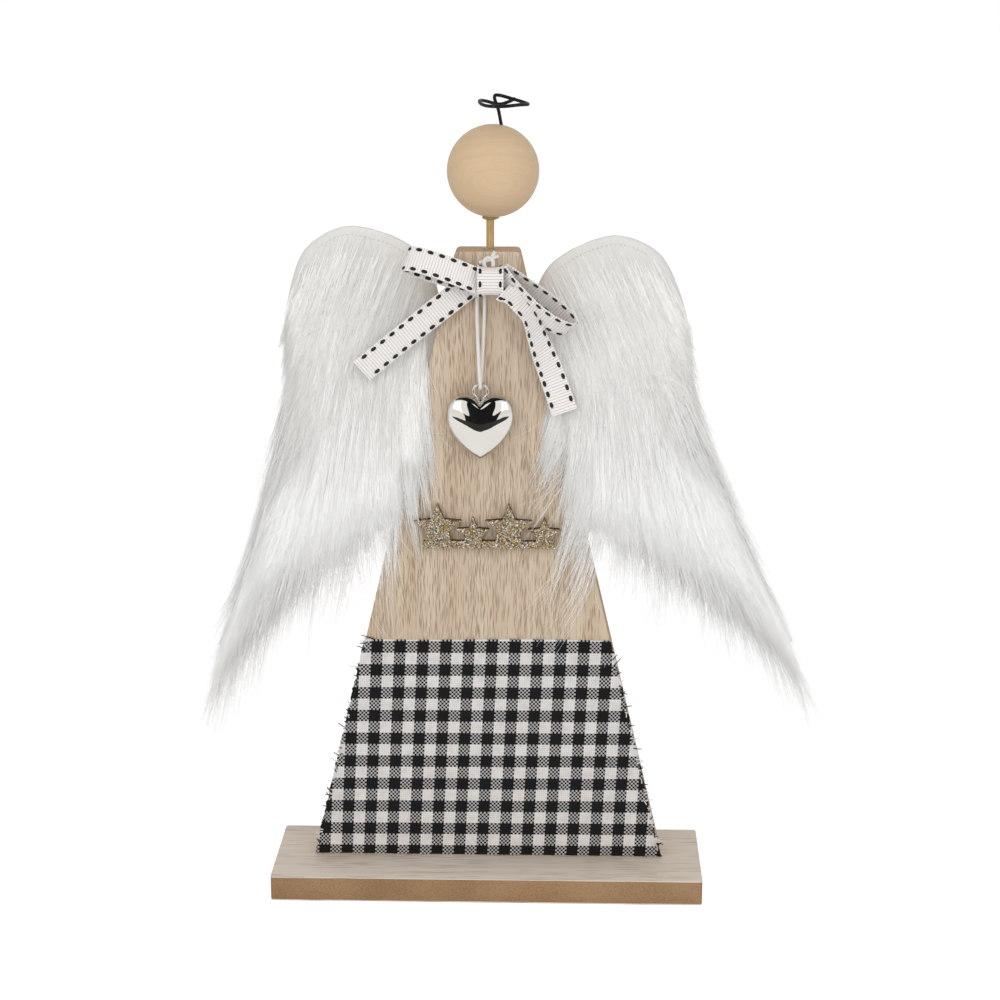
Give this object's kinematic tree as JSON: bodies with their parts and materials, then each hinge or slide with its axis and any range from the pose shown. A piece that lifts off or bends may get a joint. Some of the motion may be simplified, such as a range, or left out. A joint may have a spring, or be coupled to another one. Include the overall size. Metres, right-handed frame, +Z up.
{
  "type": "angel figurine",
  "caption": "Shelf ornament: tapered board on a foot, ball head with wire halo, fur wings, ribbon bow with a hanging heart, glitter star row and checked cloth skirt.",
  "frame": {"origin": "centre of the foot board's underside", "axes": "+Z up, the front of the figurine faces -Y, +X to the viewer's right"},
  "size_m": [0.2495, 0.054, 0.3123],
  "materials": {
    "fibreboard": "sawn, matt",
    "foot_veneer": "sanded, unfinished",
    "board_veneer": "sanded, unfinished",
    "screw_steel": "zinc plated",
    "bamboo": "natural",
    "ball_wood": "sanded, natural",
    "dark_wire": "blackened",
    "fur_backing": "knitted, matt",
    "fur_pile": "long pile",
    "ribbon": "ribbed, black stitched edges",
    "satin_cord": "satin",
    "plated_heart": "mirror plated",
    "plywood": "cut, scorched edge",
    "glitter": "glitter",
    "checked_cloth": "woven, frayed sides"
  },
  "bodies": {
    "figurine": {"base_core": "fibreboard", "body_core": "fibreboard", "base_top_veneer": "foot_veneer", "base_bottom_veneer": "foot_veneer", "body_front_veneer": "board_veneer", "body_back_veneer": "board_veneer", "base_screw_left": "screw_steel", "base_screw_right": "screw_steel", "neck_dowel": "bamboo", "head_ball": "ball_wood", "halo_wire": "dark_wire", "wing_left_backing": "fur_backing", "wing_right_backing": "fur_backing", "wing_left_fur": "fur_pile", "wing_right_fur": "fur_pile", "bow_knot": "ribbon", "bow_loop_left": "ribbon", "bow_loop_right": "ribbon", "bow_tail_left": "ribbon", "bow_tail_right": "ribbon", "cord_tie": "satin_cord", "star_row_board": "plywood", "star_row_glitter": "glitter", "skirt_cloth": "checked_cloth"},
    "cord": {"heart_cord": "satin_cord"},
    "heart": {"heart_eye": "plated_heart", "heart_pendant": "plated_heart"}
  },
  "joints": [
    {"name": "pendant_swing", "type": "hinge", "parent": "figurine", "child": "cord", "pos_m": [-0.0024, -0.0042, 0.238], "axis": [0, 1, 0], "range_deg": [-14, 14]},
    {"name": "heart_tilt", "type": "hinge", "parent": "cord", "child": "heart", "pos_m": [-0.0024, -0.00855, 0.2041], "axis": [-1, 0, 0], "range_deg": [0, 75]}
  ]
}
